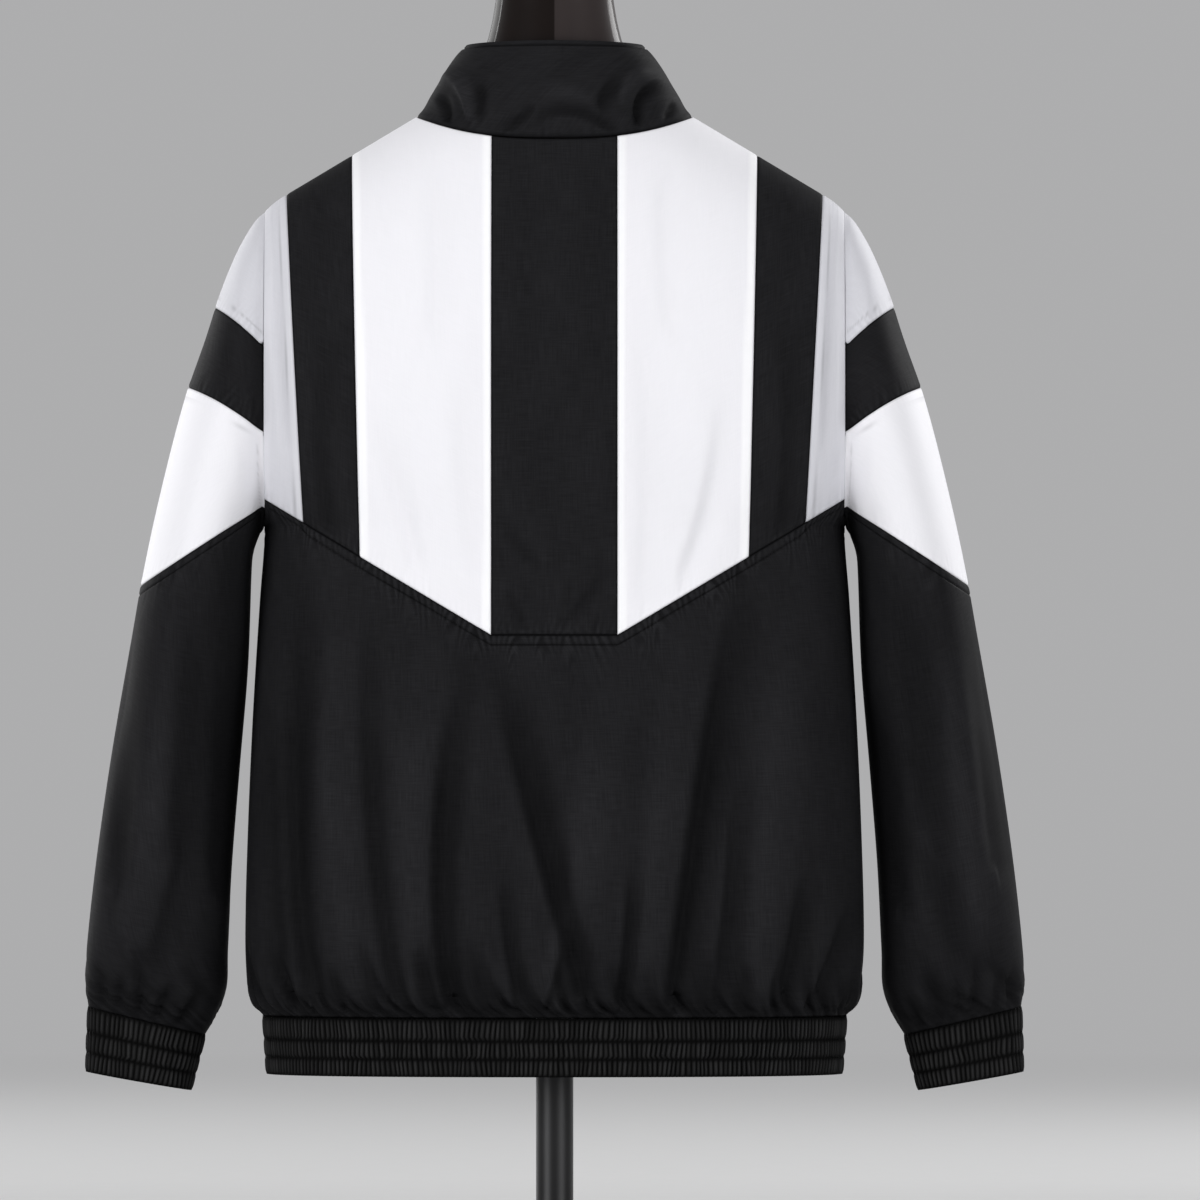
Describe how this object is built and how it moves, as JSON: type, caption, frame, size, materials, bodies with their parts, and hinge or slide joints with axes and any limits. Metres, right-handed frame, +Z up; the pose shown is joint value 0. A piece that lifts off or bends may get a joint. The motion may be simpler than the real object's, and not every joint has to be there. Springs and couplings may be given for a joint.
{
  "type": "windbreaker on a dress form",
  "caption": "Zip-up training jacket with a stand collar, colour-blocked back and sleeves and elastic hems, worn by a limbless dress form on a pole and a round base.",
  "frame": {"origin": "middle of the base's underside, on the surface that the stand rests on", "axes": "+Z up, the garment's front faces -Y and its back +Y, +X is the wearer's left"},
  "size_m": [0.707, 0.3, 0.95],
  "materials": {
    "black_shell": "black woven polyester, soft sheen",
    "white_shell": "white woven polyester",
    "grey_shell": "pale grey woven polyester",
    "elastic": "black shirred elastic",
    "zip_tape": "black zip tape with moulded teeth",
    "zip_metal": "black zinc",
    "lacquer": "dark brown lacquer, glossy",
    "stand_steel": "black powder coat"
  },
  "bodies": {
    "jacket_and_form": {"back_lower": "black_shell", "back_centre": "black_shell", "collar": "black_shell", "back_black_L": "black_shell", "back_black_R": "black_shell", "front_black_L": "black_shell", "front_black_R": "black_shell", "front_centre_L": "black_shell", "front_centre_R": "black_shell", "front_lower_L": "black_shell", "front_lower_R": "black_shell", "sleeve_black_L": "black_shell", "sleeve_black_R": "black_shell", "sleeve_lower_L": "black_shell", "sleeve_lower_R": "black_shell", "back_white_L": "white_shell", "back_white_R": "white_shell", "front_white_L": "white_shell", "front_white_R": "white_shell", "sleeve_white_L": "white_shell", "sleeve_white_R": "white_shell", "back_grey_L": "grey_shell", "back_grey_R": "grey_shell", "front_grey_L": "grey_shell", "front_grey_R": "grey_shell", "sleeve_grey_L": "grey_shell", "sleeve_grey_R": "grey_shell", "waistband": "elastic", "cuff_L": "elastic", "cuff_R": "elastic", "zip_tape_L": "zip_tape", "zip_tape_R": "zip_tape", "zip_slider": "zip_metal", "dress_form": "lacquer", "stand_base": "stand_steel", "stand_pole": "stand_steel"},
    "zip_pull_tab": {"zip_pull": "zip_metal"}
  },
  "joints": [
    {"name": "zip_pull_swing", "type": "hinge", "parent": "jacket_and_form", "child": "zip_pull_tab", "pos_m": [0, -0.08098, 0.83099], "axis": [-1, 0, 0], "range_deg": [0, 150]}
  ]
}
